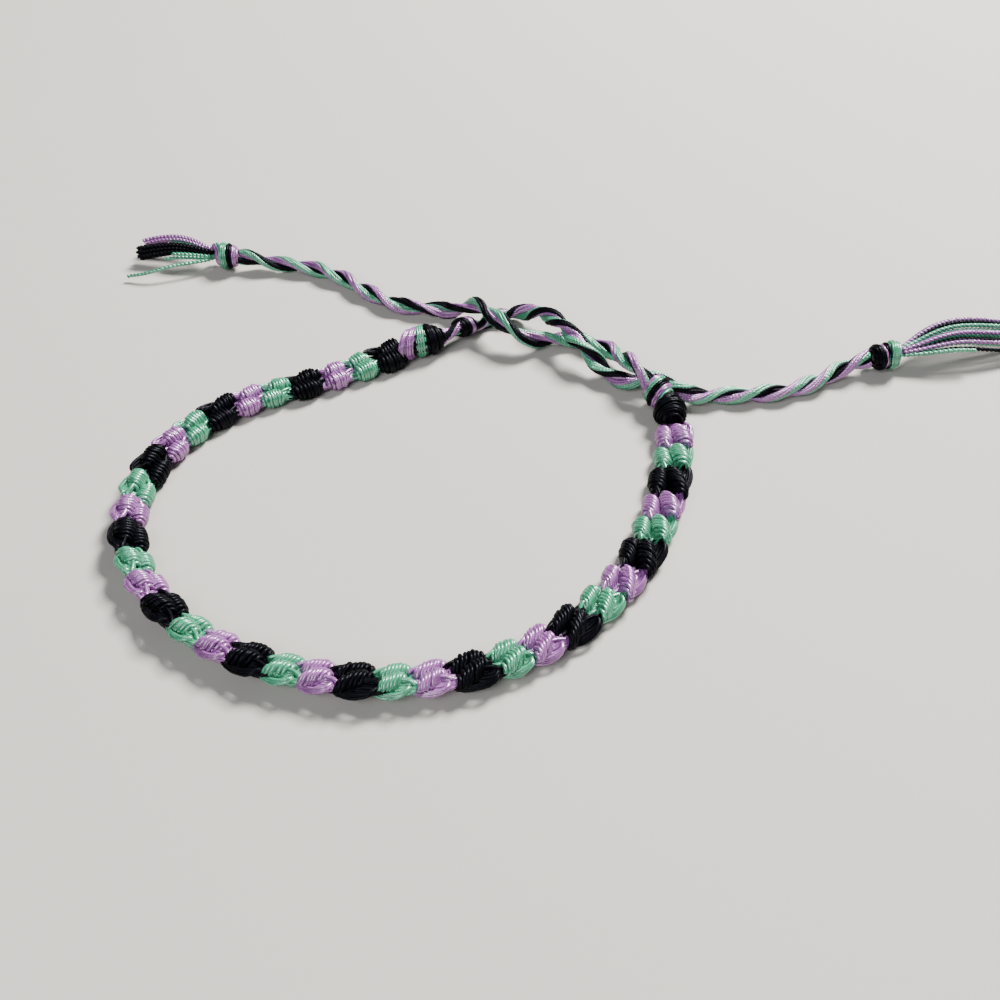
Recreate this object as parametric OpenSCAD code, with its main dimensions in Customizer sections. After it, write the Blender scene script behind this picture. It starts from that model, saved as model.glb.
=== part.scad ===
// Woven friendship bracelet, lying on a table.
// A knotted band of three thread colours runs round the wrist. At each end it
// is closed by an end knot and goes on as a twisted tie. The two ties cross and
// twist about each other behind the wrist, each hitched round the other with a
// slide knot, and each ends in a stopper knot and a tassel of loose threads.

/* [Band] */
// Knotted rows from end knot to end knot
row_count = 36; // [33:3:36]
// Length of one knotted row along the band
row_pitch = 3.8; // [3.7:0.05:3.8]
// Width of the band, over both columns of knots
band_w = 4.4; // [4.1:0.1:4.6]
// Thickness of the band
band_t = 2.5; // [2.3:0.1:2.7]
// How far the knots pull in between two rows, as a share of their radius
row_groove = 0.2; // [0.05:0.05:0.3]
// How far the outer column runs ahead of the inner one, in rows
column_lead = 0.35; // [0:0.05:0.5]

/* [Ties] */
// Diameter of a twisted tie
tie_d = 2.2; // [1.8:0.1:2.2]

/* [Knots] */
// Diameter of the end knots
end_knot_d = 4.2; // [3.8:0.1:4.3]
// Length of the left end knot, three strands wound side by side
left_knot_l = 4.8; // [4.4:0.1:5.0]
// Length of the right end knot
right_knot_l = 3.2; // [2.8:0.1:3.3]
// Diameter of the slide knots over the tie that they hold
slide_knot_d = 4.2; // [3.9:0.1:4.3]
// Length of the slide knots, two strands wound side by side
slide_knot_l = 1.9; // [1.7:0.1:2.0]
// Diameter of the stopper knots
stopper_d = 4.0; // [3.6:0.1:4.2]
// Length of the stopper knots
stopper_l = 3.6; // [3.2:0.1:3.7]

/* [Tassels] */
// Width of the left tassel where its threads end
left_tassel_w = 5.0; // [4:0.1:5.4]
// Width of the right tassel where its threads end
right_tassel_w = 6.6; // [5:0.1:7]
// Thickness of a tassel where its threads end
tassel_t = 1.7; // [1.4:0.1:1.8]
// Locks side by side in a tassel
lock_count = 4; // [3:1:5]

/* [Hidden] */

black = [0.04, 0.04, 0.05];
mint = [0.46, 0.80, 0.66];
lilac = [0.75, 0.56, 0.81];

// Facets of the round knots, sides of the swept band and of the swept ties
$fn = 32;
band_sides = 14;
tie_sides = 8;
rings_per_row = 4;
// Clearance between neighbouring pieces
gap = 0.1;

// Start of the band at its left end, seen from above, its first heading and how
// far its outer edge is rolled up there, in degrees
BAND_START = [-1.3, 22.5];
BAND_HEADING = 210;
BAND_ROLL = 5;
// The band's line as tangent arcs, from the left end round the front, each with
// its length, its turn to the left and the roll at its end
ARC_LENGTH = 0;
ARC_TURN = 1;
ARC_ROLL = 2;
ARCS = [
    [17.1, -13, 5],
    [17.1, 48, 20],
    [17.1, 52, 32],
    [17.1, 34, 28],
    [17.1, 27, 20],
    [17.1, 35, 10],
    [17.1, 31, 15],
    [17.1, 19, 10],
];

// Routes of the ties, millimetres. The left tie starts at the left end knot.
CLOSURE_LEFT = [
    [4.1, 24.2, 2.1], [5.3, 24.9, 2.2], [6.5, 25.6, 2.2], [7.7, 26.4, 1.9], [9.0, 27.4, 1.2],
    [10.5, 28.4, 1.2], [12.2, 29.0, 1.2], [13.8, 29.1, 1.4], [15.3, 28.4, 1.9], [16.8, 27.0, 2.7],
    [18.2, 25.0, 3.4], [19.4, 22.8, 3.7], [20.5, 20.8, 3.6], [21.5, 19.1, 3.3], [22.5, 17.8, 2.6],
    [23.5, 16.7, 1.8], [24.6, 15.4, 1.3], [25.9, 14.4, 1.2], [27.3, 13.9, 1.2], [28.7, 14.0, 1.4],
];
CLOSURE_RIGHT = [
    [30.6, 9.2, 2.1], [30.0, 10.3, 2.3], [29.4, 11.4, 2.5], [28.7, 12.2, 3.1], [27.9, 13.2, 3.7],
    [27.1, 14.6, 3.7], [26.5, 16.4, 3.1], [25.9, 18.4, 2.1], [25.0, 20.2, 1.5], [23.9, 21.5, 1.2],
    [22.5, 22.4, 1.2], [20.9, 23.0, 1.2], [19.3, 23.3, 1.2], [17.5, 23.0, 1.4], [15.8, 22.5, 1.9],
    [14.4, 22.4, 2.5], [13.1, 23.1, 3.1], [11.9, 24.1, 3.5], [10.9, 25.3, 3.7], [10.0, 26.6, 3.7],
    [9.1, 27.7, 3.8], [8.2, 28.7, 3.4], [7.3, 29.6, 2.6],
];
FREE_LEFT = [
    [7.1, 29.8, 2.4], [6.1, 30.4, 1.7], [4.8, 30.8, 1.2], [3.3, 31.2, 1.2], [1.5, 31.6, 1.2],
    [-0.4, 32.0, 1.2], [-2.4, 32.9, 1.2], [-4.6, 34.5, 1.2], [-6.9, 36.6, 1.2], [-10.6, 40.1, 1.2],
    [-15.3, 43.0, 1.2], [-20.2, 44.2, 1.4], [-23.3, 45.0, 1.9], [-25.3, 45.4, 2.1],
];
FREE_RIGHT = [
    [32.6, 10.9, 2.1], [33.9, 10.5, 1.6], [35.3, 10.4, 1.3], [37.3, 10.4, 1.2], [39.8, 10.3, 1.2],
    [43.8, 10.3, 1.2], [46.8, 10.8, 1.2], [49.8, 12.0, 1.3], [52.8, 13.4, 1.6], [55.1, 14.2, 2.0],
    [56.7, 14.6, 2.1],
];

// Middle lines of the tassels, from the stopper knot to the threads' ends
TASSEL_LEFT = [[-29.5, 46.0, 2.2], [-34.9, 47.6, 2.3], [-40.5, 48.3, 1.4]];
TASSEL_RIGHT = [[61.1, 15.3, 2.2], [67.9, 17.3, 2.9], [76.3, 17.7, 1.6]];

// One arc run from a pose [x, y, heading], along part of its length
function advance(pose, arc, run) =
    let (radius = arc[ARC_LENGTH] / (arc[ARC_TURN] * PI / 180),
        heading = pose[2] + arc[ARC_TURN] * run / arc[ARC_LENGTH])
    [pose[0] + radius * (sin(heading) - sin(pose[2])),
        pose[1] - radius * (cos(heading) - cos(pose[2])),
        heading];

// Pose [x, y, heading] of the band's line at a distance from its left end
function band_pose(s, i = 0, pose = [BAND_START[0], BAND_START[1], BAND_HEADING]) =
    (s <= ARCS[i][ARC_LENGTH] || i == len(ARCS) - 1)
        ? advance(pose, ARCS[i], s)
        : band_pose(s - ARCS[i][ARC_LENGTH], i + 1, advance(pose, ARCS[i], ARCS[i][ARC_LENGTH]));

// Height of a knot along its row: 0 where two rows meet, 1 half way
function knot_swell(rows) = sqrt(max(0, 1 - pow(2 * (rows - floor(rows)) - 1, 2)));

// Radius of a column of knots at a distance along it, counted in rows
function column_radius(rows) = band_t / 2 * (1 - row_groove * (1 - knot_swell(rows)));

// Ray length from the band's middle to the outline of two round columns side
// by side, at an angle from the outer side over the top
function band_radius(angle, rows) =
    let (outer = column_radius(rows - column_lead / 2),
        inner = column_radius(rows + column_lead / 2),
        side = abs(cos(angle)) < 0.01 ? (outer + inner) / 2 : cos(angle) > 0 ? outer : inner,
        offset = (band_w - band_t) / 2)
    offset * abs(cos(angle)) + sqrt(pow(side, 2) - pow(offset * sin(angle), 2));

// Roll of the band at a distance from its left end, outer edge up
function band_roll(s, i = 0, before = BAND_ROLL) =
    (s <= ARCS[i][ARC_LENGTH] || i == len(ARCS) - 1)
        ? before + (ARCS[i][ARC_ROLL] - before) * s / ARCS[i][ARC_LENGTH]
        : band_roll(s - ARCS[i][ARC_LENGTH], i + 1, ARCS[i][ARC_ROLL]);

// Height of the band's middle, which rests on its lower edge
function band_height(roll) = band_t / 2 + (band_w - band_t) / 2 * sin(roll);

// One ring of points round the band's line
function band_ring(s) =
    let (pose = band_pose(s), rows = s / row_pitch, roll = band_roll(s),
        outward = [sin(pose[2]), -cos(pose[2]), 0])
    [for (k = [0:band_sides - 1])
        let (angle = 360 * k / band_sides, r = band_radius(angle, rows))
        [pose[0], pose[1], band_height(roll)] + outward * r * cos(angle + roll)
            + [0, 0, r * sin(angle + roll)]];

// Unit vector from one point towards another
function toward(a, b) = (b - a) / norm(b - a);

// Direction of a route at one of its points
function route_direction(route, i) =
    toward(route[max(i - 1, 0)], route[min(i + 1, len(route) - 1)]);

// One ring of points round a route
function route_ring(route, i, diameter, sides) =
    let (ahead = route_direction(route, i),
        side = cross(ahead, [0, 0, 1]) / norm(cross(ahead, [0, 0, 1])),
        up = cross(side, ahead))
    [for (k = [0:sides - 1])
        route[i] + diameter / 2 * (cos(360 * (k + 0.5) / sides) * side
            + sin(360 * (k + 0.5) / sides) * up)];

// Point on a smooth curve through three points
function bent(line, t) =
    line[0] * (1 - t) * (1 - 2 * t) + line[1] * 4 * t * (1 - t) + line[2] * t * (2 * t - 1);

// Outline of a flat bundle of locks side by side, for half a width and half a
// thickness: a crest over each lock, a dip between two, and a point at each side
function lock_outline(half_w, half_t) =
    let (last = 2 * lock_count,
        top = [for (k = [1:last - 1])
            [half_w * (1 - 2 * k / last), half_t * (k % 2 == 1 ? 1 : 0.6)]])
    concat([[half_w, 0]], top, [[-half_w, 0]], [for (k = [last - 2:-1:0]) [top[k][0], -top[k][1]]]);

// A closed skin over rings of points with flat ends
module skin(rings) {
    sides = len(rings[0]);
    last = len(rings) - 1;
    polyhedron(
        points = [for (ring = rings) each ring],
        faces = [
            [for (k = [sides - 1:-1:0]) k],
            for (i = [0:last - 1], k = [0:sides - 1])
                let (a = i * sides + k, b = i * sides + (k + 1) % sides)
                each [[a, b, a + sides], [b, b + sides, a + sides]],
            [for (k = [0:sides - 1]) last * sides + k],
        ]
    );
}

// A tube swept along a route
module tube(route, diameter) {
    skin([for (i = [0:len(route) - 1]) route_ring(route, i, diameter, tie_sides)]);
}

// Turns a piece made along +Z to lie along a direction at a point
module laid(point, direction) {
    level = norm([direction[0], direction[1]]);
    translate(point)
        rotate([0, atan2(level, direction[2]), atan2(direction[1], direction[0])])
            children();
}

// Strands wound side by side into a barrel, its axis on Z and its middle at 0
module wound(diameter, length, strands, bore = 0) {
    strand = length / strands;
    rotate_extrude() {
        for (k = [0:strands - 1])
            translate([diameter / 2 - strand / 2, (k + 0.5) * strand - length / 2])
                intersection() {
                    circle(d = strand);
                    translate([bore / 2 - diameter / 2 + strand / 2, -strand / 2])
                        square([diameter, strand]);
                }
        translate([bore / 2, -length / 2 + strand / 2])
            square([diameter / 2 - strand / 2 - bore / 2, length - strand]);
    }
}

module band() {
    length = row_count * row_pitch;
    steps = row_count * rings_per_row;
    color(mint) skin([for (i = [0:steps]) band_ring(length * i / steps)]);
}

// Strands wound into a knot half way between the band's end and a tie's start
module end_knot(band_end, tie_start, length, strands) {
    start = [band_end[0], band_end[1], end_knot_d / 2];
    end = [tie_start[0], tie_start[1], end_knot_d / 2];
    color(black)
        laid((start + end) / 2, toward(start, end))
            wound(end_knot_d, length, strands);
}

module end_knot_left() {
    end_knot(BAND_START, CLOSURE_LEFT[0], left_knot_l, 3);
}

module end_knot_right() {
    end_knot(band_pose(row_count * row_pitch), CLOSURE_RIGHT[0], right_knot_l, 2);
}

module closure_tie_left() {
    color(lilac) tube(CLOSURE_LEFT, tie_d);
}

module closure_tie_right() {
    color(mint) tube(CLOSURE_RIGHT, tie_d);
}

// The right tie hitched round the left one
module slide_knot_left() {
    color(black)
        laid(CLOSURE_LEFT[2], route_direction(CLOSURE_LEFT, 2))
            wound(slide_knot_d, slide_knot_l, 2, tie_d + 3 * gap);
}

// The left tie hitched round the right one
module slide_knot_right() {
    color(lilac)
        laid(CLOSURE_RIGHT[1], route_direction(CLOSURE_RIGHT, 1))
            wound(slide_knot_d, slide_knot_l, 2, tie_d + 3 * gap);
}

module free_end_left() {
    color(mint) tube(FREE_LEFT, tie_d);
}

module free_end_right() {
    color(lilac) tube(FREE_RIGHT, tie_d);
}

// A stopper knot between the end of a tie and the head of its tassel
module stopper_knot(route, head) {
    end = route[len(route) - 1];
    color(mint)
        laid((end + head) / 2, toward(end, head))
            wound(stopper_d, stopper_l, 3);
}

module stopper_knot_left() {
    stopper_knot(FREE_LEFT, TASSEL_LEFT[0]);
}

module stopper_knot_right() {
    stopper_knot(FREE_RIGHT, TASSEL_RIGHT[0]);
}

// Locks of loose threads that leave a knot as a round bundle and fan out flat
module tassel(line, width) {
    steps = 6;
    start_w = tie_d / 2;
    middle = [for (i = [0:steps]) bent(line, i / steps)];
    skin([for (i = [0:steps])
        let (ahead = route_direction(middle, i),
            side = cross(ahead, [0, 0, 1]) / norm(cross(ahead, [0, 0, 1])),
            up = cross(side, ahead),
            t = i / steps,
            half_w = start_w + (width / 2 - start_w) * t,
            half_t = start_w + (tassel_t / 2 - start_w) * t)
        [for (p = lock_outline(half_w, half_t)) middle[i] + p[0] * side + p[1] * up]]);
}

module tassel_left() {
    color(black) tassel(TASSEL_LEFT, left_tassel_w);
}

module tassel_right() {
    color(lilac) tassel(TASSEL_RIGHT, right_tassel_w);
}

band();
end_knot_left();
end_knot_right();
closure_tie_left();
closure_tie_right();
slide_knot_left();
slide_knot_right();
free_end_left();
free_end_right();
stopper_knot_left();
stopper_knot_right();
tassel_left();
tassel_right();
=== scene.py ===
import bpy
import numpy as np
from mathutils import Matrix, Vector


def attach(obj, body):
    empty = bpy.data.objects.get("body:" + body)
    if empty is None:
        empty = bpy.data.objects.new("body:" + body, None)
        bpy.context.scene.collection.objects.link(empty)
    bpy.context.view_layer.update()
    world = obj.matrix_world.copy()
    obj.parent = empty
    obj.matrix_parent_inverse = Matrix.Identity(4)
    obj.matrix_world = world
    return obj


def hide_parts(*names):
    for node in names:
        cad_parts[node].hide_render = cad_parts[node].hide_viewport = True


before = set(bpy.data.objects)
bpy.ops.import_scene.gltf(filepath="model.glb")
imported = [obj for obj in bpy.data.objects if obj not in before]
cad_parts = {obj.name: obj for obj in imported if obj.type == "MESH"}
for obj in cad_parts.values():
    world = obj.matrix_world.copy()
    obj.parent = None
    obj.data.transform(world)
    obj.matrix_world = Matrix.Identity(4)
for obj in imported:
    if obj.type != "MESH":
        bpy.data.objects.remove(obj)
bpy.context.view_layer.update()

# Camera
# It looks down on the bracelet from the front at the angle of the photograph,
# leaning a little to one side, with the right tassel running out of the view.
MM = 0.001
camera_place = np.array([10.12, -85.61, 86.15]) * MM
camera_below_level = np.radians(46.5)
camera_lean = np.radians(-3.3)
camera_ahead = np.array([0, np.cos(camera_below_level), -np.sin(camera_below_level)])
camera_down = np.array([0, -np.sin(camera_below_level), -np.cos(camera_below_level)])
level = np.array([1.0, 0, 0])
picture_right = level * np.cos(camera_lean) - camera_down * np.sin(camera_lean)
picture_down = level * np.sin(camera_lean) + camera_down * np.cos(camera_lean)
camera = bpy.data.objects.new("camera", bpy.data.cameras.new("camera"))
camera.data.lens = 37.8
camera.data.sensor_width = 36
camera.data.clip_start = 0.005
turn = Matrix(np.column_stack([picture_right, -picture_down, -camera_ahead]).tolist())
camera.matrix_world = Matrix.Translation(Vector(camera_place)) @ turn.to_4x4()
bpy.context.scene.collection.objects.link(camera)
bpy.context.scene.camera = camera

# Ties
# Each tie is two strands twisted into a rope, and a strand is nine cotton
# threads, three side by side of each colour. It leaves an end knot, crosses
# the other tie, passes a slide hitch and ends in a stopper knot.
rope_half = 0.53 * MM
rope_core = 0.4 * MM
rope_step = 0.125 * MM
rope_thread_w = 0.5 * MM
rope_thread_lay = 0.75 * MM
rope_groove = 0.3
rope_sway = 0.18
rope_swell = 0.12
SWAY_PERIOD_MM = (5, 11)
threads_of_dye = 3
CLOSURE_LEFT = np.array([
    [4.1, 24.2, 2.1], [5.3, 24.9, 2.2], [6.5, 25.6, 2.2], [7.7, 26.4, 1.9], [9.0, 27.4, 1.2],
    [10.5, 28.4, 1.2], [12.2, 29.0, 1.2], [13.8, 29.1, 1.4], [15.3, 28.4, 1.9], [16.8, 27.0, 2.7],
    [18.2, 25.0, 3.4], [19.4, 22.8, 3.7], [20.5, 20.8, 3.6], [21.5, 19.1, 3.3], [22.5, 17.8, 2.6],
    [23.5, 16.7, 1.8], [24.6, 15.4, 1.3], [25.9, 14.4, 1.2], [27.3, 13.9, 1.2], [28.7, 14.0, 1.4],
]) * MM
ROUND_HITCH = np.array([[30.0, 13.3, 1.7], [31.4, 12.1, 2.0]]) * MM
FREE_RIGHT = np.array([
    [32.6, 10.9, 2.1], [33.9, 10.5, 1.6], [35.3, 10.4, 1.3], [37.3, 10.4, 1.2], [39.8, 10.3, 1.2],
    [43.8, 10.3, 1.2], [46.8, 10.8, 1.2], [49.8, 12.0, 1.3], [52.8, 13.4, 1.6], [55.1, 14.2, 2.0],
    [56.7, 14.6, 2.1],
]) * MM
CLOSURE_RIGHT = np.array([
    [30.6, 9.2, 2.1], [30.0, 10.3, 2.3], [29.4, 11.4, 2.5], [28.7, 12.2, 3.1], [27.9, 13.2, 3.7],
    [27.1, 14.6, 3.7], [26.5, 16.4, 3.1], [25.9, 18.4, 2.1], [25.0, 20.2, 1.5], [23.9, 21.5, 1.2],
    [22.5, 22.4, 1.2], [20.9, 23.0, 1.2], [19.3, 23.3, 1.2], [17.5, 23.0, 1.4], [15.8, 22.5, 1.9],
    [14.4, 22.4, 2.5], [13.1, 23.1, 3.1], [11.9, 24.1, 3.5], [10.9, 25.3, 3.7], [10.0, 26.6, 3.7],
    [9.1, 27.7, 3.8], [8.2, 28.7, 3.4], [7.3, 29.6, 2.6],
]) * MM
IN_KNOT_LEFT = np.array([[2.4, 23.6, 2.1]]) * MM
IN_KNOT_RIGHT = np.array([[31.1, 8.3, 2.1]]) * MM
FREE_LEFT = np.array([
    [7.1, 29.8, 2.4], [6.1, 30.4, 1.7], [4.8, 30.8, 1.2], [3.3, 31.2, 1.2], [1.5, 31.6, 1.2],
    [-0.4, 32.0, 1.2], [-2.4, 32.9, 1.2], [-4.6, 34.5, 1.2], [-6.9, 36.6, 1.2], [-10.6, 40.1, 1.2],
    [-15.3, 43.0, 1.2], [-20.2, 44.2, 1.4], [-23.3, 45.0, 1.9], [-25.3, 45.4, 2.1],
]) * MM


def smooth_line(points, step):
    """Points every step along the Catmull-Rom curve through the given points.

    Between p1 and p2 it is half of 2 p1 + (p2 - p0) t + (2 p0 - 5 p1 + 4 p2 - p3) t^2
    + (3 p1 - p0 - 3 p2 + p3) t^3, and the whole is then cut at equal lengths.
    """
    first = 2 * points[0] - points[1]
    last = 2 * points[-1] - points[-2]
    p = np.vstack([first, points, last])
    t = np.linspace(0, 1, 16, endpoint=False)[None, :, None]
    p0, p1, p2, p3 = (p[i:len(p) - 3 + i, None] for i in range(4))
    curve = (2 * p1 + (p2 - p0) * t + (2 * p0 - 5 * p1 + 4 * p2 - p3) * t ** 2
             + (3 * p1 - p0 - 3 * p2 + p3) * t ** 3) / 2
    curve = np.vstack([curve.reshape(-1, points.shape[1]), points[-1]])
    run = np.r_[0, np.cumsum(np.linalg.norm(np.diff(curve, axis=0), axis=1))]
    at = np.linspace(0, run[-1], max(4, int(round(run[-1] / step)) + 1))
    return np.column_stack([np.interp(at, run, curve[:, i]) for i in range(points.shape[1])])


def unit(vectors):
    """Vectors scaled to length 1."""
    return vectors / np.linalg.norm(vectors, axis=-1, keepdims=True)


def run_along(line):
    """Distance of each point of a line from its first one."""
    steps = np.linalg.norm(np.diff(line, axis=-2), axis=-1)
    return np.concatenate([np.zeros(steps.shape[:-1] + (1,)), np.cumsum(steps, axis=-1)], axis=-1)


def sides_of(line):
    """Directions to the right of a line and above it, square to it."""
    ahead = unit(np.gradient(line, axis=0))
    side = unit(np.cross(ahead, [0, 0, 1]))
    return side, np.cross(side, ahead)


def thread_skin(line, lean, width, lay, groove, plies=2, sides=8, closed=False):
    """Skins of threads, as (points, quads, uv), for lines of shape (threads, steps, 3).

    Round the line the skin stands at width / 2 (1 - groove + groove |cos(plies a / 2)|) at the
    angle a from the direction lean, and the section makes one turn in each lay. A closed line is
    a ring. In uv, u counts plies and v is the way along the thread in millimetres.
    """
    threads, steps = line.shape[:2]
    if closed:
        ahead = np.roll(line, -1, axis=1) - np.roll(line, 1, axis=1)
        ring = np.concatenate([line, line[:, :1]], axis=1)
        run = run_along(ring)
        turns = np.maximum(1, np.round(plies * run[:, -1:] / lay)) / plies
        twist = 2 * np.pi * turns * run[:, :-1] / run[:, -1:]
    else:
        ahead = np.gradient(line, axis=1)
        run = run_along(line)
        twist = 2 * np.pi * run / lay
    ahead = unit(ahead)
    lean = unit(lean - np.sum(lean * ahead, axis=-1, keepdims=True) * ahead)
    across = np.cross(ahead, lean)
    around = 2 * np.pi * np.arange(sides) / sides
    reach = 1 - groove + groove * np.abs(np.cos(plies * around / 2))
    angle = twist[..., None] + around
    half = np.broadcast_to(width, (threads, steps))[..., None] / 2 * reach
    points = (line[:, :, None] + (half * np.cos(angle))[..., None] * lean[:, :, None]
              + (half * np.sin(angle))[..., None] * across[:, :, None])
    rows = steps if closed else steps - 1
    i, k = np.meshgrid(np.arange(rows), np.arange(sides), indexing="ij")
    here, beyond = i * sides, (i + 1) % steps * sides
    next_k = (k + 1) % sides
    quads = np.stack([here + k, here + next_k, beyond + next_k, beyond + k], axis=-1)
    quads = quads.reshape(-1, 4)
    u = np.stack([k, k + 1, k + 1, k], axis=-1) * plies / (2 * sides)
    marks = run / MM
    v = np.stack([marks[:, i], marks[:, i], marks[:, i + 1], marks[:, i + 1]], axis=-1)
    uv = np.stack([np.broadcast_to(u, v.shape), v], axis=-1).reshape(threads, -1, 4, 2)
    if not closed:
        odd = np.arange(1, sides - 1, 2)
        lid = np.stack([0 * odd, odd, odd + 1, (odd + 2) % sides], axis=-1)
        quads = np.vstack([quads, lid[:, ::-1], lid + (steps - 1) * sides])
        flat = np.zeros((threads, 2 * len(lid), 4, 2))
        uv = np.concatenate([uv, flat], axis=1)
    size = steps * sides
    quads = quads[None] + (np.arange(threads) * size)[:, None, None]
    return points.reshape(-1, 3), quads.reshape(-1, 4), uv.reshape(-1, 4, 2)


table_give = 0.12 * MM


def above_table(points):
    """Points pressed softly up from the table: z becomes half of z + sqrt(z^2 + give^2)."""
    points = points.copy()
    points[:, 2] = (points[:, 2] + np.sqrt(points[:, 2] ** 2 + table_give ** 2)) / 2
    return points


def make_piece(name, skins, dyes):
    """One object of several skins, each given as (skin, place of its dye in dyes)."""
    counts = np.cumsum([0] + [len(skin[0]) for skin, dye in skins])
    points = above_table(np.vstack([skin[0] for skin, dye in skins]))
    quads = np.vstack([skin[1] + start for (skin, dye), start in zip(skins, counts)])
    uv = np.vstack([skin[2] for skin, dye in skins])
    dye_of = np.concatenate([np.full(len(skin[1]), dye) for skin, dye in skins])
    mesh = bpy.data.meshes.new(name)
    mesh.vertices.add(len(points))
    mesh.vertices.foreach_set("co", points.astype(np.float32).ravel())
    mesh.loops.add(quads.size)
    mesh.loops.foreach_set("vertex_index", quads.astype(np.int32).ravel())
    mesh.polygons.add(len(quads))
    mesh.polygons.foreach_set("loop_start", np.arange(0, quads.size, 4, dtype=np.int32))
    mesh.update(calc_edges=True)
    mesh.polygons.foreach_set("use_smooth", np.ones(len(quads), bool))
    mesh.polygons.foreach_set("material_index", dye_of.astype(np.int32))
    layer = mesh.uv_layers.new(name="thread")
    layer.uv.foreach_set("vector", uv.astype(np.float32).ravel())
    for dye in dyes:
        mesh.materials.append(dye)
    mesh.validate()
    piece = bpy.data.objects.new(name, mesh)
    bpy.context.scene.collection.objects.link(piece)
    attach(piece, "root")
    return piece


class Amount:
    """A number on a shader socket, so that sums and products of it can be written out."""

    def __init__(self, tree, socket):
        self.tree = tree
        self.socket = socket

    def worked(self, operation, *values):
        """The result of a Math node, from numbers or other amounts."""
        node = self.tree.nodes.new("ShaderNodeMath")
        node.operation = operation
        for place, value in zip(node.inputs, values):
            if isinstance(value, Amount):
                self.tree.links.new(value.socket, place)
            else:
                place.default_value = value
        return Amount(self.tree, node.outputs[0])

    def __add__(self, other):
        return self.worked("ADD", self, other)

    def __radd__(self, other):
        return self.worked("ADD", other, self)

    def __sub__(self, other):
        return self.worked("SUBTRACT", self, other)

    def __rsub__(self, other):
        return self.worked("SUBTRACT", other, self)

    def __mul__(self, other):
        return self.worked("MULTIPLY", self, other)

    def __rmul__(self, other):
        return self.worked("MULTIPLY", other, self)

    def __abs__(self):
        return self.worked("ABSOLUTE", self)

    def cosine(self):
        return self.worked("COSINE", self)


class Finish:
    """A material under construction, with one way to add any node."""

    def __init__(self, name):
        self.material = bpy.data.materials.new(name)
        self.material.use_nodes = True
        self.tree = self.material.node_tree
        self.tree.nodes.clear()

    def node(self, kind, settings, values):
        """A new node of a kind: first its settings, then the values or links of its sockets."""
        made = self.tree.nodes.new("ShaderNode" + kind)
        for key, value in settings.items():
            setattr(made, key, value)
        for place, value in values.items():
            if isinstance(value, Amount):
                value = value.socket
            if isinstance(value, bpy.types.NodeSocket):
                self.tree.links.new(value, made.inputs[place])
            else:
                made.inputs[place].default_value = value
        return made

    def amount(self, socket):
        """A socket of one of its nodes, ready for sums and products."""
        return Amount(self.tree, socket)


fibres_round = 14.0
fibres_along = 1.6
fibre_roughness = 0.3
fibre_relief = 0.7
ply_relief = 0.4
relief_depth = 0.05 * MM
patches_per_m = 380.0


def cotton(name, crest, groove, shine, gloss, rough, ior, sheen):
    """Shiny mercerised cotton: crest on the plies, groove between them, fine fibres along them.

    Its colour goes from groove to crest by half the sum of ply, fibre and patch, less a quarter.
    The groove colour is painted shade: through ply the colour darkens in the hollows between the
    plies, where shade falls, while fibre and patch are the thread's own tone.
    Its highlights have the colour shine and the strength gloss, and it is rough + 0.3 fibre.
    """
    finish = Finish(name)
    thread = finish.node("UVMap", {"uv_map": "thread"}, {})
    place = finish.node("SeparateXYZ", {}, {"Vector": thread.outputs["UV"]})
    around = finish.amount(place.outputs["X"])
    along = finish.amount(place.outputs["Y"])
    ply = abs((around * (2 * np.pi)).cosine())
    lengthwise = finish.node("CombineXYZ", {},
                             {"X": around * fibres_round, "Y": along * fibres_along, "Z": ply})
    fibres = finish.node("TexNoise", {"noise_dimensions": "3D"},
                         {"Vector": lengthwise.outputs["Vector"], "Scale": 1.0, "Detail": 2.0,
                          "Roughness": 0.6})
    fibre = finish.amount(fibres.outputs["Fac"])
    spot = finish.node("TexCoord", {}, {})
    cloud = finish.node("TexNoise", {"noise_dimensions": "3D"},
                        {"Vector": spot.outputs["Object"], "Scale": patches_per_m,
                         "Detail": 2.0, "Roughness": 0.5})
    patch = finish.amount(cloud.outputs["Fac"])
    # Painted shade: ply darkens the colour towards groove between the plies; fibre and patch add
    # the thread's own tone.
    painted_groove_shade_and_tone = ply * 0.5 + fibre * 0.5 + patch * 0.5 - 0.25
    colour = finish.node("Mix", {"data_type": "RGBA", "clamp_factor": True},
                         {0: painted_groove_shade_and_tone, 6: (*groove, 1), 7: (*crest, 1)})
    relief = finish.node("Bump", {},
                         {"Strength": 0.7, "Distance": relief_depth,
                          "Height": fibre * fibre_relief + ply * ply_relief})
    shader = finish.node("BsdfPrincipled", {},
                         {"Base Color": colour.outputs[2],
                          "Roughness": fibre * fibre_roughness + rough,
                          "IOR": ior, "Specular IOR Level": gloss, "Specular Tint": (*shine, 1),
                          "Sheen Weight": sheen, "Sheen Roughness": 0.4,
                          "Normal": relief.outputs["Normal"]})
    finish.node("OutputMaterial", {}, {"Surface": shader.outputs["BSDF"]})
    return finish.material


# The groove colours are painted shade, for the hollows between the plies; the crest colours are the
# dyes.
lilac_cotton = cotton(
    "lilac_cotton", crest=(0.36, 0.13, 0.41), groove=(0.08, 0.013, 0.095),
    shine=(1.0, 0.8, 1.0), gloss=1.0, rough=0.13, ior=1.8, sheen=0.06)
mint_cotton = cotton(
    "mint_cotton", crest=(0.055, 0.38, 0.205), groove=(0.006, 0.09, 0.04),
    shine=(0.7, 1.0, 0.87), gloss=1.0, rough=0.13, ior=1.8, sheen=0.06)
black_cotton = cotton(
    "black_cotton", crest=(0.0022, 0.002, 0.004), groove=(0.001, 0.001, 0.0015),
    shine=(0.8, 0.85, 1.0), gloss=0.3, rough=0.2, ior=1.25, sheen=0.0)
DYES = [lilac_cotton, mint_cotton, black_cotton]
LILAC, MINT, BLACK = range(3)


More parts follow.
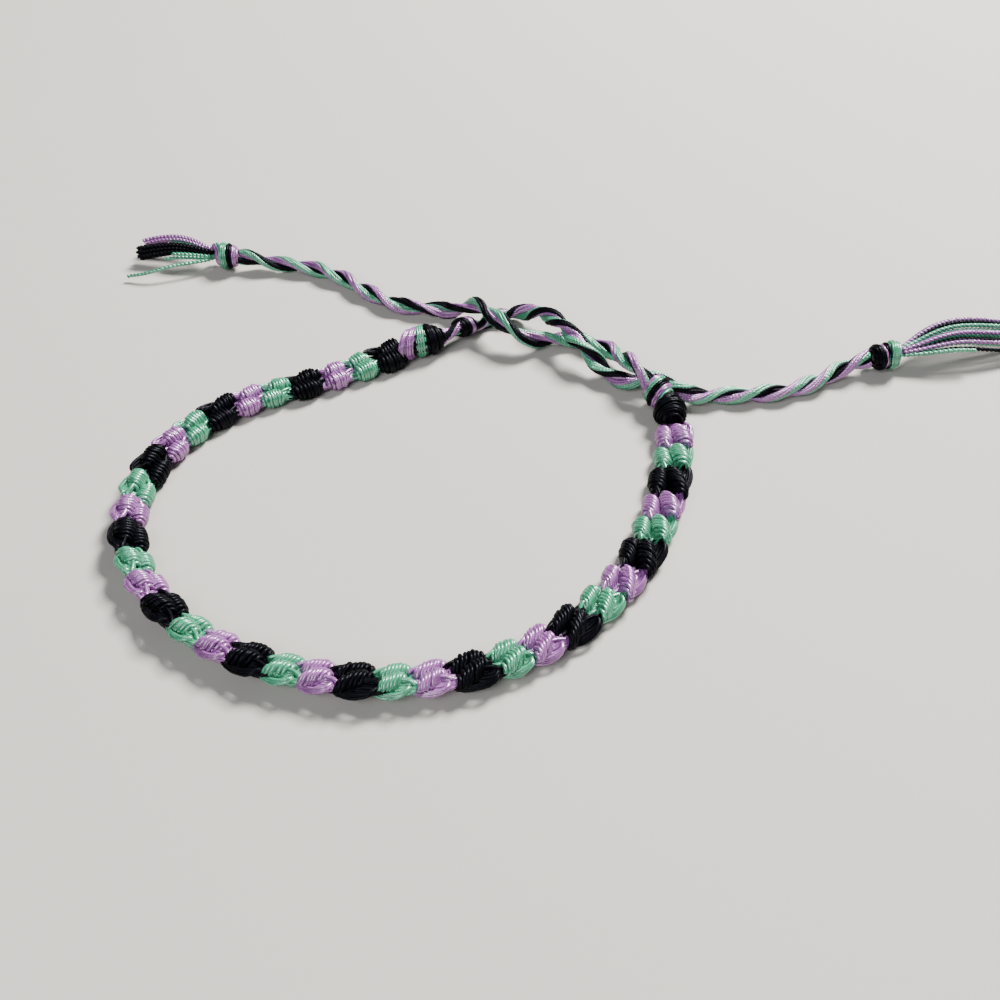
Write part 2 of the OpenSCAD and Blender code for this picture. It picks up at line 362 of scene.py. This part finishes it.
def rope_skins(line, lay, first_turn, faces, face_lay, seed):
    """Skins of two strands twisted round a line, each of nine threads, three of each dye.

    Strand k stands rope_half away from the line at the turn first_turn + k / 2 + run / lay, and
    thread i of it rope_core away from the strand, at the turn faces[k] + i / 9 + run / face_lay
    from the way out, with a slow sway and swell of its own.
    """
    draw = np.random.default_rng(seed)
    side, up = sides_of(line)
    ahead = np.cross(up, side)
    run = run_along(line)
    count = 3 * threads_of_dye
    skins = []
    for k, face in enumerate(faces):
        turn = 2 * np.pi * (first_turn + k / 2 + run / lay)
        out = np.cos(turn)[:, None] * side + np.sin(turn)[:, None] * up
        across = np.cross(ahead, out)
        for i in range(count):
            phase = draw.uniform(0, 2 * np.pi, 2)
            period = draw.uniform(*SWAY_PERIOD_MM, 2) * MM
            sway = rope_sway * np.sin(2 * np.pi * run / period[0] + phase[0])
            swell = 1 + rope_swell * np.sin(2 * np.pi * run / period[1] + phase[1])
            angle = 2 * np.pi * (face + i / count + run / face_lay) + sway
            lean = np.cos(angle)[:, None] * out + np.sin(angle)[:, None] * across
            thread = line + rope_half * out + rope_core * swell[:, None] * lean
            skin = thread_skin(thread[None], lean[None], rope_thread_w, rope_thread_lay,
                               rope_groove, sides=6)
            skins.append((skin, i // threads_of_dye))
    return skins


line_left = smooth_line(
    np.vstack([IN_KNOT_LEFT, CLOSURE_LEFT, ROUND_HITCH, FREE_RIGHT]), rope_step)
line_right = smooth_line(
    np.vstack([IN_KNOT_RIGHT, CLOSURE_RIGHT, FREE_LEFT]), rope_step)
tie_left = make_piece(
    "tie_left",
    rope_skins(line_left, lay=9.4 * MM, first_turn=0.3, faces=[0.12, 0.02],
               face_lay=90 * MM, seed=3),
    DYES)
tie_right = make_piece(
    "tie_right",
    rope_skins(line_right, lay=-10.9 * MM, first_turn=0.91, faces=[0.02, 0.07],
               face_lay=-45 * MM, seed=4),
    DYES)
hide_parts("closure_tie_left", "free_end_right")
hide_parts("closure_tie_right", "free_end_left")

# Slide hitches
# Where a tie is hitched round the other one, its threads lie side by side in
# rings round that tie, so that the loop of the bracelet can be drawn in.
strand_w = 0.42 * MM
wrap_lay = 2.2 * MM
wrap_groove = 0.12
wrap_steps = 30
wrap_spacing = 0.75 * strand_w
turn_bow = 0.86
turn_scatter = 0.015
turn_slant_scatter = 0.02
core_lay = 9 * MM
core_inset = 0.6
core_taper = 0.6


def on_axis(centre, direction):
    """A way from (along, across, up) to part space, for a knot on a straight axis."""
    ahead = unit(direction)
    side = unit(np.cross(ahead, [0, 0, 1]))
    up = np.cross(side, ahead)

    def place(along, across, lift):
        return (centre + np.asarray(along)[..., None] * ahead
                + np.asarray(across)[..., None] * side + np.asarray(lift)[..., None] * up)
    return place


def wrap_skins(place, along, across, half_w, half_t, slant, drag, width):
    """Skins of rings of strand round an axis, one for each value of along.

    At the angle a a ring stands at along + half_w (slant cos a - drag (1 - sin a)
    (1 + cos a) / 4), across + half_w cos a and half_t sin a, in the space that place maps to
    the part.
    """
    a = 2 * np.pi * np.arange(wrap_steps) / wrap_steps
    along, across, half_w, half_t, slant = (
        np.broadcast_to(value, np.shape(along))[:, None]
        for value in (along, across, half_w, half_t, slant))
    out = 0.1 * MM
    forward = along + half_w * (slant * np.cos(a) - drag * (1 - np.sin(a)) * (1 + np.cos(a)) / 4)
    line = place(forward, across + half_w * np.cos(a), half_t * np.sin(a))
    lean = place(forward, across + (half_w + out) * np.cos(a), (half_t + out) * np.sin(a)) - line
    return thread_skin(line, lean, width, wrap_lay, wrap_groove, closed=True)


def knot_turns(place, turns, seed):
    """Turns of thread side by side round a knot, each with its strands lying on a round back.

    A turn is (dye, along, width, diameter, slant, shift across), in millimetres. Its strands
    stand wrap_spacing apart, and the one at b, from -turn_bow to turn_bow across the turn, is
    width / 2 (1 - sqrt(1 - b^2)) nearer to the axis. Under the turns lies a core of gathered
    thread, core_inset thinner than they are and narrowed to both ends.
    """
    draw = np.random.default_rng(seed)
    skins = []
    spine = np.linspace(turns[0][1] - turns[0][2] / 2, turns[-1][1] + turns[-1][2] / 2, 13)
    core_d = np.interp(spine, [turn[1] for turn in turns], [turn[3] for turn in turns])
    core_d = core_d - core_inset
    core_d *= 1 - core_taper * np.abs(np.linspace(-1, 1, len(spine))) ** 8
    middle = place(spine * MM, 0 * spine, 0 * spine)[None]
    over = place(spine * MM, 0 * spine, MM + 0 * spine)[None] - middle
    core = thread_skin(middle, over, core_d * MM, core_lay, wrap_groove, plies=9, sides=36)
    skins.append((core, turns[0][0]))
    for dye, along, width, diameter, slant, shift in turns:
        n = max(2, int(round(width * MM / wrap_spacing)) + 1)
        bow = np.linspace(-1, 1, n) * turn_bow
        back = width / 2 * (1 - np.sqrt(1 - bow ** 2)) * MM
        at = (along + bow * width / 2) * MM + draw.normal(0, turn_scatter, n) * MM
        half = diameter * MM / 2 - strand_w / 2 - back
        slants = slant + draw.normal(0, turn_slant_scatter, n)
        wound = wrap_skins(place, at, shift * MM, half, half, slants, drag=0.0, width=strand_w)
        skins.append((wound, dye))
    return skins


hitch_left = make_piece(
    "hitch_left",
    knot_turns(on_axis(CLOSURE_LEFT[2], CLOSURE_LEFT[3] - CLOSURE_LEFT[1]),
               [(BLACK, -0.4, 0.5, 2.6, 0.3, 0), (BLACK, 0.2, 0.8, 2.8, 0.35, 0),
                (LILAC, 0.75, 0.3, 2.7, 0.35, 0), (BLACK, 1.05, 0.4, 2.6, 0.35, 0)], 21),
    DYES)
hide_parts("slide_knot_left")
hitch_right = make_piece(
    "hitch_right",
    knot_turns(on_axis(CLOSURE_RIGHT[1], CLOSURE_RIGHT[2] - CLOSURE_RIGHT[0]),
               [(MINT, -1.0, 0.4, 3.2, 0.25, 0), (LILAC, -0.55, 0.6, 3.6, 0.25, 0),
                (BLACK, 0.1, 0.7, 4.0, 0.25, 0), (MINT, 0.65, 0.4, 3.9, 0.2, 0),
                (LILAC, 1.0, 0.5, 3.6, 0.2, 0)], 22),
    DYES)
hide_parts("slide_knot_right")

# Stopper knots
# Each tie is tied on itself in an overhand knot, whose loops are the three
# thread colours one after another, with one loop lying aslant over them.
TASSEL_LEFT = np.array([[-29.5, 46.0, 2.2], [-34.9, 47.6, 2.3], [-40.5, 48.3, 1.4]]) * MM
TASSEL_RIGHT = np.array([[61.1, 15.3, 2.2], [67.9, 17.3, 2.9], [76.3, 17.7, 1.6]]) * MM

axis_left = on_axis((FREE_LEFT[-1] + TASSEL_LEFT[0]) / 2, TASSEL_LEFT[0] - FREE_LEFT[-1])
axis_right = on_axis((FREE_RIGHT[-1] + TASSEL_RIGHT[0]) / 2, TASSEL_RIGHT[0] - FREE_RIGHT[-1])
stopper_left = make_piece(
    "stopper_left", knot_turns(
        axis_left,
        [(LILAC, -1.75, 0.3, 2.4, 0.1, 0), (LILAC, -1.35, 0.6, 3.2, 0.1, 0),
         (BLACK, -0.7, 0.7, 3.7, 0.1, 0),
         (MINT, 0.1, 0.9, 3.9, 0.15, 0), (MINT, 0.65, 0.7, 3.6, 0.6, 0.1),
         (LILAC, 1.1, 0.6, 3.3, 0.65, 0.15)], 23),
    DYES)
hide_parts("stopper_knot_left")
stopper_right = make_piece(
    "stopper_right", knot_turns(
        axis_right,
        [(BLACK, -1.55, 0.3, 2.5, 0.15, 0), (BLACK, -1.05, 0.8, 3.4, 0.15, 0),
         (LILAC, -0.35, 0.45, 3.3, 0.1, 0),
         (BLACK, 0.05, 0.5, 3.4, 0.0, 0), (MINT, 0.65, 1.0, 3.7, -0.2, 0),
         (MINT, 1.2, 0.7, 3.3, -0.35, 0.1)], 24),
    DYES)
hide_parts("stopper_knot_right")

# Tassels
# Past the stopper knots the same cotton threads run on loose. They are a
# little fanned out on the table, and end where they were cut off.
tassel_thread_w = 0.56 * MM
tassel_lay = 1.15 * MM
tassel_groove = 0.45
tassel_step = 0.2 * MM
tassel_t = 1.7 * MM
tassel_bow = 1.4
tassel_gather = 0.7
root_steps = 5
root_share = 0.8
# Each row is one thread: its dye, how far to the right it lies at its end and
# how high, in half widths and half thicknesses, its length as a share of the
# tassel's, and its bow to the right, in half widths.
LEFT_THREADS = [
    (LILAC, 1.15, 0.6, 1.0, 0.9), (LILAC, 1.0, 1.0, 0.99, 0.75), (LILAC, 0.95, 0.1, 0.98, 0.7),
    (LILAC, 0.82, 0.7, 0.96, 0.6), (MINT, 0.7, 0.2, 0.6, 0.7), (BLACK, 0.36, 0.3, 1.0, 0.0),
    (BLACK, 0.3, 1.0, 1.0, 0.1), (BLACK, 0.17, -0.2, 0.99, 0.0), (BLACK, 0.15, 0.6, 1.0, 0.0),
    (BLACK, 0.05, 1.3, 0.99, 0.0), (BLACK, -0.03, 0.1, 1.0, 0.0), (BLACK, -0.12, 0.8, 1.0, 0.0),
    (BLACK, -0.2, -0.4, 0.98, 0.0), (BLACK, -0.28, 0.3, 0.99, 0.0), (MINT, -0.5, 0.2, 0.5, -0.2),
    (MINT, -0.65, -0.2, 0.42, -0.3), (MINT, -0.55, -0.6, 0.6, -0.3),
    (MINT, -1.75, -0.6, 1.05, -0.5),
]
RIGHT_THREADS = [
    (LILAC, -0.72, 0.7, 1.0, -0.35), (BLACK, -1.0, -0.1, 0.83, -0.3),
    (BLACK, -0.55, 0.0, 1.0, -0.15), (MINT, -0.42, 0.6, 1.0, 0.0), (MINT, -0.25, 0.3, 1.0, 0.1),
    (LILAC, 0.0, 0.8, 1.0, 0.25), (BLACK, 0.2, 0.1, 1.0, 0.45), (LILAC, 0.48, 0.6, 1.0, 0.75),
    (BLACK, 0.68, -0.2, 1.0, 0.85), (MINT, 0.85, 0.1, 0.55, 1.0), (MINT, 0.3, -0.5, 0.95, 0.5),
    (BLACK, 0.0, -0.5, 0.97, 0.3), (BLACK, -0.62, 0.45, 1.0, -0.24), (MINT, -0.33, 0.95, 1.0, 0.02),
    (MINT, 0.1, 0.45, 1.0, 0.35), (BLACK, 0.34, 0.5, 1.0, 0.6), (LILAC, 0.1, 1.05, 0.98, 0.32),
]


def tassel_skins(knot, line, width, threads):
    """Skins of loose threads that leave a knot together and fan out along a bent line.

    At the share t of the way a thread lies to the right by width / 2 (end t (2 - t)
    + tassel_bow bow t (1 - t)) + tassel_gather end (1 - t)^4, and up by half the thickness
    times its height times 0.6 + 0.4 t. Its root comes straight out of the middle of the knot,
    and past the end of the line it runs straight on.
    """
    middle = smooth_line(line, tassel_step)
    side, up = sides_of(middle)
    skins = []
    for dye, end, height, share, bow in threads:
        t = np.linspace(0, share, len(middle))
        spine = np.column_stack([np.interp(t, np.linspace(0, 1, len(middle)), middle[:, i])
                                 for i in range(3)])
        past = np.maximum(t - 1, 0)[:, None]
        spine = spine + past * (middle[-1] - middle[-2]) * (len(middle) - 1)
        gather = (1 - t) ** 4 * np.clip(end, -1, 1) * tassel_gather * MM
        fan = end * t * np.maximum(2 - t, 1) + tassel_bow * bow * t * (1 - t)
        right = width / 2 * fan + gather
        lift = tassel_t / 2 * height * (0.6 + 0.4 * t)
        thread = spine + right[:, None] * side + lift[:, None] * up
        thread[:, 2] = np.maximum(thread[:, 2], tassel_thread_w / 2)
        root = knot + np.linspace(0, root_share, root_steps)[:, None] * (thread[0] - knot)
        thread = np.vstack([root, thread])
        above = np.vstack([up[:1]] * len(root) + [up])
        skin = thread_skin(thread[None], above[None], tassel_thread_w, tassel_lay,
                           tassel_groove, sides=12)
        skins.append((skin, dye))
    return skins


tassel_left = make_piece(
    "tassel_threads_left",
    tassel_skins((FREE_LEFT[-1] + TASSEL_LEFT[0]) / 2, TASSEL_LEFT, 5.0 * MM, LEFT_THREADS),
    DYES)
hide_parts("tassel_left")
tassel_right = make_piece(
    "tassel_threads_right",
    tassel_skins((FREE_RIGHT[-1] + TASSEL_RIGHT[0]) / 2, TASSEL_RIGHT, 6.6 * MM, RIGHT_THREADS),
    DYES)
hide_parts("tassel_right")

# Band
# Thirty-six rows of knots in cotton thread, each row one colour: an inner and
# an outer knot, in which the thread goes eight times round the others, and
# loops at both edges where it turns back. Its outer edge is rolled up.
row_count = 36
row_pitch = 3.8 * MM
band_w = 4.4 * MM
band_t = 2.5 * MM
# Along the band the rows lie a little differently. ROW_SHIFTS says how far on a
# row stands, at SHIFT_ROWS. The other values are those at BAND_ROWS: how far the
# outer knot leads the inner one, how much the turns slant, how many degrees a
# knot leans inwards, where both columns of knots stand across the band, how
# broad the knots are, the outer knot's share of the row's length, how far out
# the outer loops stand as a share, how far their rim rises and lies back, and
# how far the wedge inside the rim drops.
SHIFT_ROWS = [0, 4, 9, 12, 15, 17, 20, 22, 25, 27, 31, 35]
ROW_SHIFTS = np.array([0.0, -0.1, -0.6, -0.5, 0.15, 0.6, 0.3, 0.0, 0.0, -0.3, 0.0, 0.0]) * MM
BAND_ROWS = [0, 4, 9, 12, 15, 22, 27, 31, 35]
LEADS = np.array([-0.2, -0.4, -1.1, -0.4, 0.3, 0.4, 0.6, 0.4, 0.2]) * MM
SLANTS = np.array([0.1, 0.15, 0.1, -0.05, -0.2, -0.2, -0.2, -0.2, -0.1])
TILTS = np.array([10, 8, 4, 0, 14, 26, 30, 24, 18])
OUTER_COLUMNS = np.array([0.72, 0.68, 0.52, 0.30, 0.50, 0.72, 0.81, 0.86, 0.83]) * MM
INNER_COLUMNS = np.array([-0.98, -1.05, -1.1, -1.05, -0.95, -0.85, -1.0, -1.18, -1.13]) * MM
SPREADS = np.array([1.0, 1.0, 1.0, 1.0, 0.98, 0.95, 1.02, 1.1, 1.08])
OUTER_SHARES = np.array([0.8, 0.8, 0.8, 0.76, 0.72, 0.72, 0.84, 0.94, 0.94])
LOOP_ACROSS = np.array([1.0, 0.95, 0.85, 0.82, 0.9, 1.0, 0.98, 0.94, 0.94])
RIM_LIFTS = np.array([0.0, 0.0, 0.1, 0.2, 0.35, 0.35, 0.2, 0.0, 0.0])
RIM_BACKS = np.array([0.0, 0.0, 0.0, 0.1, 0.2, 0.25, 0.2, 0.0, 0.0])
WEDGE_DROPS = np.array([0.0, 0.0, 0.0, 0.0, 0.0, 0.0, 0.3, 0.6, 0.6])
# The black, mint and lilac rows differ in length, as shares of row_pitch, and in size.
ROW_SHARE = [1.14, 0.92, 0.94]
ROW_SIZE = [1.08, 0.99, 1.0]
# The band's middle line is eight arcs of one length: the degrees that each turns,
# and how many degrees the band is rolled up at its end.
BAND_START = np.array([-1.3, 22.5]) * MM
BAND_HEADING = 210
BAND_ROLL = 5
ARC_LENGTH = 17.1 * MM
ARC_TURN = np.array([-13, 48, 52, 34, 27, 35, 31, 19])
ARC_ROLL = np.array([8, 30, 42, 30, 20, 10, 15, 10])
ROW_DYES = [BLACK, MINT, LILAC]

arc_heading = np.radians(BAND_HEADING + np.r_[0, np.cumsum(ARC_TURN)])
arc_radius = ARC_LENGTH / np.radians(ARC_TURN)
arc_steps = np.column_stack([arc_radius * np.diff(np.sin(arc_heading)),
                             -arc_radius * np.diff(np.cos(arc_heading))])
arc_start = BAND_START + np.vstack([[0, 0], np.cumsum(arc_steps, axis=0)])
roll_at = np.radians(np.r_[BAND_ROLL, ARC_ROLL])


def on_band(along, across, lift):
    """The way from (along the band, across it to the outer side, up from its face) to the part.

    The line is tangent arcs, x = x0 + r (sin h - sin h0) and y = y0 - r (cos h - cos h0), and the
    section is turned by the roll about a middle that keeps its lower edge on the table.
    """
    along, across, lift = np.broadcast_arrays(along, across, lift)
    arc = np.clip((along / ARC_LENGTH).astype(int), 0, len(ARC_TURN) - 1)
    share = along / ARC_LENGTH - arc
    heading = arc_heading[arc] + np.radians(ARC_TURN[arc]) * share
    x = arc_start[arc, 0] + arc_radius[arc] * (np.sin(heading) - np.sin(arc_heading[arc]))
    y = arc_start[arc, 1] - arc_radius[arc] * (np.cos(heading) - np.cos(arc_heading[arc]))
    roll = roll_at[arc] + (roll_at[arc + 1] - roll_at[arc]) * np.clip(share, 0, 1)
    out = across * np.cos(roll) - lift * np.sin(roll)
    z = (band_t / 2 + (band_w - band_t) / 2 * np.sin(roll)
         + across * np.sin(roll) + lift * np.cos(roll))
    return np.stack([x + out * np.sin(heading), y - out * np.cos(heading), z], axis=-1)


outer_radius = 1.18 * MM
inner_radius = 1.12 * MM
knot_wraps = 8
knot_strand_w = 0.5 * MM
knot_half_t = band_t / 2
knot_drag = 0.8
knot_taper = 0.55
knot_waist = 0.08
knot_thickest = 1.1
knot_core_inset = 0.3 * MM
knot_core_groove = 0.1
tilt_scatter = 3
along_scatter = 0.04
across_scatter = 0.03
swell_scatter = 0.015
knot_slant_scatter = 0.1
strand_slant_scatter = 0.07
band_draw = np.random.default_rng(11)


def knot_skins(middle, column, radius, length, size, lean, tilt):
    """Skins of one knot of a row: its wraps, and a core that shows only as dark between them.

    The wrap at the share t stands at middle + (t - 1 / 2) length, and the knot's axis leans
    inwards by the tilt as it goes on. The radius there is the full one times
    1 - knot_taper |2 t - 1|^2.3, less a waist of knot_waist e^-((t - 1 / 2) / 0.08)^2 between
    its two halves. The core is knot_core_inset thinner, and closes in at both ends.
    """
    inwards = np.tan(np.radians(tilt + band_draw.normal(0, tilt_scatter)))
    i = np.arange(knot_wraps)
    t = (i + 0.5) / knot_wraps
    along = middle + (t - 0.5) * length + band_draw.normal(0, along_scatter, knot_wraps) * MM
    aside = inwards * (t - 0.5) * length
    across = column - aside + band_draw.normal(0, across_scatter, knot_wraps) * MM
    waist = knot_waist * np.exp(-((t - 0.5) / 0.08) ** 2)
    swell = size * (1 - knot_taper * np.abs(2 * t - 1) ** 2.3 - waist)
    swell = swell + band_draw.normal(0, swell_scatter, knot_wraps)
    slant = lean + band_draw.normal(0, knot_slant_scatter)
    slant = slant + band_draw.normal(0, strand_slant_scatter, knot_wraps)
    half_w = radius * swell - strand_w / 2
    half_t = knot_half_t * np.minimum(swell, knot_thickest) - strand_w / 2
    wound = wrap_skins(on_band, along, across, half_w, half_t, slant, knot_drag, knot_strand_w)
    share = np.linspace(-0.45, 0.40, 11)
    closing = np.sqrt(1 - np.abs(2.05 * share) ** 8)
    core_w = 2 * np.interp(share + 0.5, t, half_w) * closing - knot_core_inset
    line = on_band(middle + share * length, column - inwards * share * length, 0)
    up = on_band(middle + share * length, column - inwards * share * length, MM) - line
    core = thread_skin(line[None], up[None], core_w, core_lay, knot_core_groove,
                       plies=7, sides=28)
    return [wound, core]


# Guide lines of the loops, as (rows on from the knot's middle, millimetres across,
# millimetres up): the rim and the wedge within it at the outer edge, and the heel
# at the inner one. A loop's strands run between its low line and its top line.

RIM = np.array([[-0.42, 1.30, -0.75], [-0.20, 1.75, -0.95], [0.08, 2.10, -0.95],
                [0.32, 2.18, -0.72], [0.50, 2.00, -0.40], [0.62, 1.50, -0.20]])
RIM_TOP = np.array([[-0.40, 1.20, -0.50], [-0.18, 1.60, -0.66], [0.08, 1.93, -0.64],
                    [0.32, 2.02, -0.42], [0.50, 1.88, -0.18], [0.62, 1.40, -0.10]])
WEDGE = np.array([[-0.15, 1.30, -0.65], [0.10, 1.55, -0.60], [0.33, 1.74, -0.42],
                  [0.52, 1.78, -0.22], [0.66, 1.15, -0.10]])
WEDGE_TOP = np.array([[0.02, 0.65, 0.50], [0.20, 0.68, 0.56], [0.37, 0.85, 0.46],
                      [0.53, 1.20, 0.22], [0.66, 0.85, 0.05]])
HEEL = np.array([[-0.62, -0.60, -0.45], [-0.50, -1.05, -0.35], [-0.36, -1.38, -0.20],
                 [-0.18, -1.62, -0.05], [0.05, -1.60, 0.05]])
HEEL_TOP = np.array([[-0.60, -0.45, 0.45], [-0.48, -0.68, 0.65], [-0.34, -0.90, 0.70],
                     [-0.16, -1.10, 0.65], [0.05, -1.15, 0.50]])
rim_strands = 3
wedge_strands = 7
wedge_hollow = 0.42
heel_strands = 5
loop_lay = 5 * MM
loop_groove = 0.1
loop_step = 0.25 * MM
loop_scatter = 0.025
LOOP_SCATTER_SHARE = [0.4, 1, 1]


def loop_skins(middle, low, high, number, hollow):
    """Skins of strands that pass side by side between two lines round an edge of the band.

    Strand j follows low + q (high - low) at q = j / (number - 1), drawn in by 4 hollow q (1 - q)
    half way along, and less, as the sine of the way, to its ends.
    """
    skins = []
    sag = np.sin(np.linspace(0, np.pi, len(low)))
    for q in np.linspace(0, 1, number):
        scatter = band_draw.normal(0, loop_scatter, low.shape) * LOOP_SCATTER_SHARE
        points = low + q * (high - low) + scatter
        points[:, 1] -= np.sign(low[:, 1].sum()) * 4 * hollow * q * (1 - q) * sag
        path = smooth_line(points * [row_pitch, MM, MM] + [middle, 0, 0], loop_step)
        line = on_band(path[:, 0], path[:, 1], path[:, 2])
        up = on_band(path[:, 0], path[:, 1], path[:, 2] + 0.1 * MM) - line
        skins.append(thread_skin(line[None], up[None], strand_w, loop_lay, loop_groove))
    return skins


# The threads inside a row, as (millimetres across, millimetres up).
HEART_THREADS = [(-1.0, -0.2), (-0.4, -0.3), (0.2, -0.45), (0.85, -0.6)]
heart_thread_w = 1.15 * MM
heart_reach = 0.3 * MM
heart_steps = 9


def heart_skins(start, end):
    """Skins of the threads inside one row, each on a line at its own place across the band."""
    along = np.linspace(start, end, heart_steps)
    line = np.array([on_band(along, x * MM, z * MM) for x, z in HEART_THREADS])
    lean = np.array([on_band(along, x * MM, (z + 0.1) * MM) for x, z in HEART_THREADS]) - line
    return thread_skin(line, lean, heart_thread_w, core_lay, wrap_groove, plies=5, sides=20)


def at_row(row, values):
    """The value at a row, on straight lines between those given for BAND_ROWS."""
    return np.interp(row, BAND_ROWS, values)


first_row_size = 1.25
lead_scatter = 0.2
knot_fill = 0.97
inner_share = 0.86
inner_tilt = 0.35
outer_behind = 0.4
band_skins = {dye: [] for dye in ROW_DYES}
for row in range(row_count):
    place_in_three = row % 3
    share = ROW_SHARE[place_in_three]
    size = ROW_SIZE[place_in_three] * np.interp(row, [0, 2], [first_row_size, 1])
    start = (row // 3 * 3 + sum(ROW_SHARE[:place_in_three])) * row_pitch
    start += np.interp(row, SHIFT_ROWS, ROW_SHIFTS)
    middle = start + share * row_pitch / 2
    lead = at_row(row, LEADS) + band_draw.normal(0, lead_scatter) * MM
    outer = middle + lead / 2
    inner = middle - lead / 2
    lean = at_row(row, SLANTS)
    tilt = at_row(row, TILTS)
    spread = at_row(row, SPREADS)
    outer_share = at_row(row, OUTER_SHARES)
    length = knot_fill * share * row_pitch
    behind = (1 - outer_share) * length * outer_behind
    made = knot_skins(outer - behind, at_row(row, OUTER_COLUMNS), outer_radius * spread,
                      outer_share * length, size, lean, tilt)
    made += knot_skins(inner, at_row(row, INNER_COLUMNS), inner_radius * spread,
                       inner_share * length, size, lean, tilt * inner_tilt)
    outer_size = [share, size * at_row(row, LOOP_ACROSS), 1]
    lifted = np.array([0, 0, at_row(row, RIM_LIFTS)])
    back = np.array([at_row(row, RIM_BACKS), 0, 0])
    dropped = np.array([0, 0, at_row(row, WEDGE_DROPS)])
    made += loop_skins(outer, RIM * outer_size + lifted - back,
                       RIM_TOP * outer_size + lifted - back, rim_strands, 0.0)
    made += loop_skins(outer, WEDGE * outer_size + lifted / 2,
                       WEDGE_TOP * outer_size - dropped, wedge_strands, wedge_hollow)
    inner_size = [share, size, 1]
    made += loop_skins(inner, HEEL * inner_size, HEEL_TOP * inner_size, heel_strands, 0.0)
    made.append(heart_skins(start - heart_reach, start + share * row_pitch + heart_reach))
    band_skins[ROW_DYES[place_in_three]] += [(skin, 0) for skin in made]
band_black = make_piece("band_black", band_skins[BLACK], [black_cotton])
band_mint = make_piece("band_mint", band_skins[MINT], [mint_cotton])
band_lilac = make_piece("band_lilac", band_skins[LILAC], [lilac_cotton])
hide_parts("band")
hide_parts("band")
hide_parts("band")

# End knots
# All threads of the band are gathered at each end: at the left under turns of
# lilac, mint and black thread, at the right in one round black knot.
end_knot_d = 4.2 * MM
band_end = arc_start[-1]
left_end = on_axis(
    np.array([*(BAND_START + CLOSURE_LEFT[0, :2]) / 2, end_knot_d / 2]),
    np.array([*(CLOSURE_LEFT[0, :2] - BAND_START), 0]))
end_wraps_left = make_piece(
    "end_wraps_left",
    knot_turns(left_end, [(BLACK, -2.6, 0.3, 2.6, -0.4, 0), (LILAC, -2.25, 0.9, 3.9, -0.7, 0),
                          (LILAC, -1.4, 0.9, 4.2, -0.6, 0), (MINT, -0.35, 1.3, 4.2, -0.2, 0),
                          (BLACK, 0.75, 1.2, 4.2, 0.1, 0), (BLACK, 1.65, 0.7, 3.5, 0.15, 0),
                          (BLACK, 2.3, 0.4, 2.5, 0.15, 0)], 25),
    DYES)
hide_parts("end_knot_left")
right_end = on_axis(
    np.array([*(band_end + CLOSURE_RIGHT[0, :2]) / 2, end_knot_d / 2]),
    np.array([*(CLOSURE_RIGHT[0, :2] - band_end), 0]))
end_wraps_right = make_piece(
    "end_wraps_right",
    knot_turns(right_end, [(BLACK, -1.5, 0.4, 2.5, -0.3, 0), (BLACK, -0.95, 0.8, 3.5, -0.25, 0),
                           (BLACK, -0.1, 1.1, 4.2, 0.1, 0), (BLACK, 0.85, 0.9, 3.7, 0.4, 0),
                           (BLACK, 1.45, 0.4, 2.6, 0.4, 0)], 26),
    DYES)
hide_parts("end_knot_right")

# Floor and light
# A plain pale table under soft studio light, with the main light high on the
# right and behind, and a weaker one in front.
floor_half = 3.0
floor_mesh = bpy.data.meshes.new("floor")
floor_mesh.from_pydata([(-floor_half, -floor_half, 0), (floor_half, -floor_half, 0),
                        (floor_half, floor_half, 0), (-floor_half, floor_half, 0)],
                       [], [(0, 1, 2, 3)])
floor = bpy.data.objects.new("floor", floor_mesh)
bpy.context.scene.collection.objects.link(floor)
paint = Finish("pale_floor")
matt = paint.node("BsdfPrincipled", {}, {"Base Color": (0.50, 0.475, 0.44, 1), "Roughness": 0.8})
paint.node("OutputMaterial", {}, {"Surface": matt.outputs["BSDF"]})
floor_mesh.materials.append(paint.material)


def soft_light(name, place, size, power, colour):
    """A square area light at place, turned to the middle of the bracelet."""
    lamp = bpy.data.lights.new(name, "AREA")
    lamp.size = size
    lamp.energy = power
    lamp.color = colour
    light = bpy.data.objects.new(name, lamp)
    light.location = place
    light.rotation_euler = (-Vector(place)).to_track_quat("-Z", "Y").to_euler()
    bpy.context.scene.collection.objects.link(light)


soft_light("main_light", place=(0.34, 0.36, 0.52), size=0.22, power=19,
           colour=(1.0, 0.98, 0.95))
soft_light("front_light", place=(-0.25, -0.45, 0.55), size=0.4, power=3.6,
           colour=(0.95, 0.97, 1.0))
world = bpy.data.worlds.new("studio")
world.use_nodes = True
around_light = world.node_tree.nodes["Background"]
around_light.inputs["Color"].default_value = (0.85, 0.9, 1.0, 1)
around_light.inputs["Strength"].default_value = 0.10
bpy.context.scene.world = world
